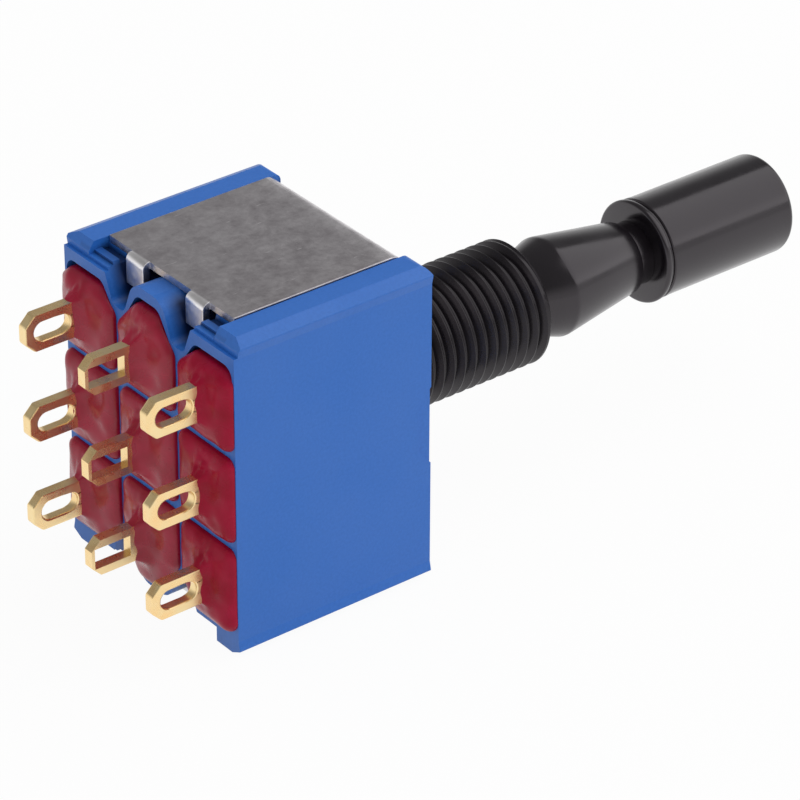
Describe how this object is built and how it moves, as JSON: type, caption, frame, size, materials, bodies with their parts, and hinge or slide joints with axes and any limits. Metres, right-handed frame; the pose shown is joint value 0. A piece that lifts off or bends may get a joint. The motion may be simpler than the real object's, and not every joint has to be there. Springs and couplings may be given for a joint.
{
  "type": "locking toggle switch",
  "caption": "Miniature multi-pole toggle switch with a moulded case, threaded bushing, locking lever and solder lugs potted in epoxy.",
  "frame": {"origin": "on the bushing's axis, at the face that seats behind a panel", "axes": "+X along the lever towards its knob, +Z across the stacked poles, +Y along the lever's throw"},
  "size_m": [0.0411, 0.0132, 0.0168],
  "materials": {
    "case_blue": "satin moulded thermoset",
    "frame_steel": "dull tin-plated sheet steel",
    "bushing_black": "black anodised thread",
    "lever_metal": "black anodised",
    "sleeve_black": "black anodised, turned",
    "knob_black": "black anodised, turned",
    "spring_steel": "drawn wire",
    "carriage_nylon": "moulded nylon",
    "plunger_nylon": "polished nylon",
    "contact_gold": "gold plated",
    "lug_gold": "gold plated, bright",
    "epoxy_red": "cast epoxy"
  },
  "bodies": {
    "root": {"case": "case_blue", "frame": "frame_steel", "bushing": "bushing_black", "lug_a_1": "lug_gold", "lug_common_1": "lug_gold", "lug_b_1": "lug_gold", "lug_a_2": "lug_gold", "lug_common_2": "lug_gold", "lug_b_2": "lug_gold", "lug_a_3": "lug_gold", "lug_common_3": "lug_gold", "lug_b_3": "lug_gold", "epoxy_a_1": "epoxy_red", "epoxy_common_1": "epoxy_red", "epoxy_b_1": "epoxy_red", "epoxy_a_2": "epoxy_red", "epoxy_common_2": "epoxy_red", "epoxy_b_2": "epoxy_red", "epoxy_a_3": "epoxy_red", "epoxy_common_3": "epoxy_red", "epoxy_b_3": "epoxy_red"},
    "lever": {"lever": "lever_metal", "lever_retainer": "spring_steel", "sleeve_spring": "spring_steel"},
    "sleeve": {"lock_sleeve": "sleeve_black", "knob": "knob_black"},
    "carriage": {"carriage": "carriage_nylon", "plunger_spring_1": "spring_steel", "plunger_spring_2": "spring_steel", "plunger_spring_3": "spring_steel"},
    "plunger_1": {"plunger_1": "plunger_nylon"},
    "plunger_2": {"plunger_2": "plunger_nylon"},
    "plunger_3": {"plunger_3": "plunger_nylon"},
    "rocker_1": {"rocker_1": "contact_gold"},
    "rocker_2": {"rocker_2": "contact_gold"},
    "rocker_3": {"rocker_3": "contact_gold"}
  },
  "joints": [
    {"name": "lever_tilt", "type": "hinge", "parent": "root", "child": "lever", "pos_m": [0.0045, 0, 0], "axis": [0, 0, 1], "range_deg": [-10, 10]},
    {"name": "sleeve_pull", "type": "slide", "parent": "lever", "child": "sleeve", "axis": [1, 0, 0], "range_m": [0, 0.0015], "stiffness_N_per_m": 800, "springref_m": -0.002, "deforming": ["sleeve_spring"]},
    {"name": "carriage_slide", "type": "slide", "parent": "root", "child": "carriage", "axis": [0, 1, 0], "range_m": [-0.0013, 0.0013]},
    {"name": "rocker_1_rock", "type": "hinge", "parent": "root", "child": "rocker_1", "pos_m": [-0.00758, 0, -0.00483], "axis": [0, 0, 1], "range_deg": [-8.2, 8.2]},
    {"name": "rocker_2_rock", "type": "hinge", "parent": "root", "child": "rocker_2", "pos_m": [-0.00758, 0, 0], "axis": [0, 0, 1], "range_deg": [-8.2, 8.2]},
    {"name": "rocker_3_rock", "type": "hinge", "parent": "root", "child": "rocker_3", "pos_m": [-0.00758, 0, 0.00483], "axis": [0, 0, 1], "range_deg": [-8.2, 8.2]},
    {"name": "plunger_1_slide", "type": "slide", "parent": "carriage", "child": "plunger_1", "axis": [1, 0, 0], "range_m": [0, 0.0005], "stiffness_N_per_m": 300, "springref_m": -0.0015, "deforming": ["plunger_spring_1"]},
    {"name": "plunger_2_slide", "type": "slide", "parent": "carriage", "child": "plunger_2", "axis": [1, 0, 0], "range_m": [0, 0.0005], "stiffness_N_per_m": 300, "springref_m": -0.0015, "deforming": ["plunger_spring_2"]},
    {"name": "plunger_3_slide", "type": "slide", "parent": "carriage", "child": "plunger_3", "axis": [1, 0, 0], "range_m": [0, 0.0005], "stiffness_N_per_m": 300, "springref_m": -0.0015, "deforming": ["plunger_spring_3"]}
  ],
  "couplings": [
    {"joint": "carriage_slide", "follows": "lever_tilt", "m_per_rad": -0.0071},
    {"joint": "rocker_1_rock", "follows": "lever_tilt", "ratio": -0.8},
    {"joint": "rocker_2_rock", "follows": "lever_tilt", "ratio": -0.8},
    {"joint": "rocker_3_rock", "follows": "lever_tilt", "ratio": -0.8}
  ]
}
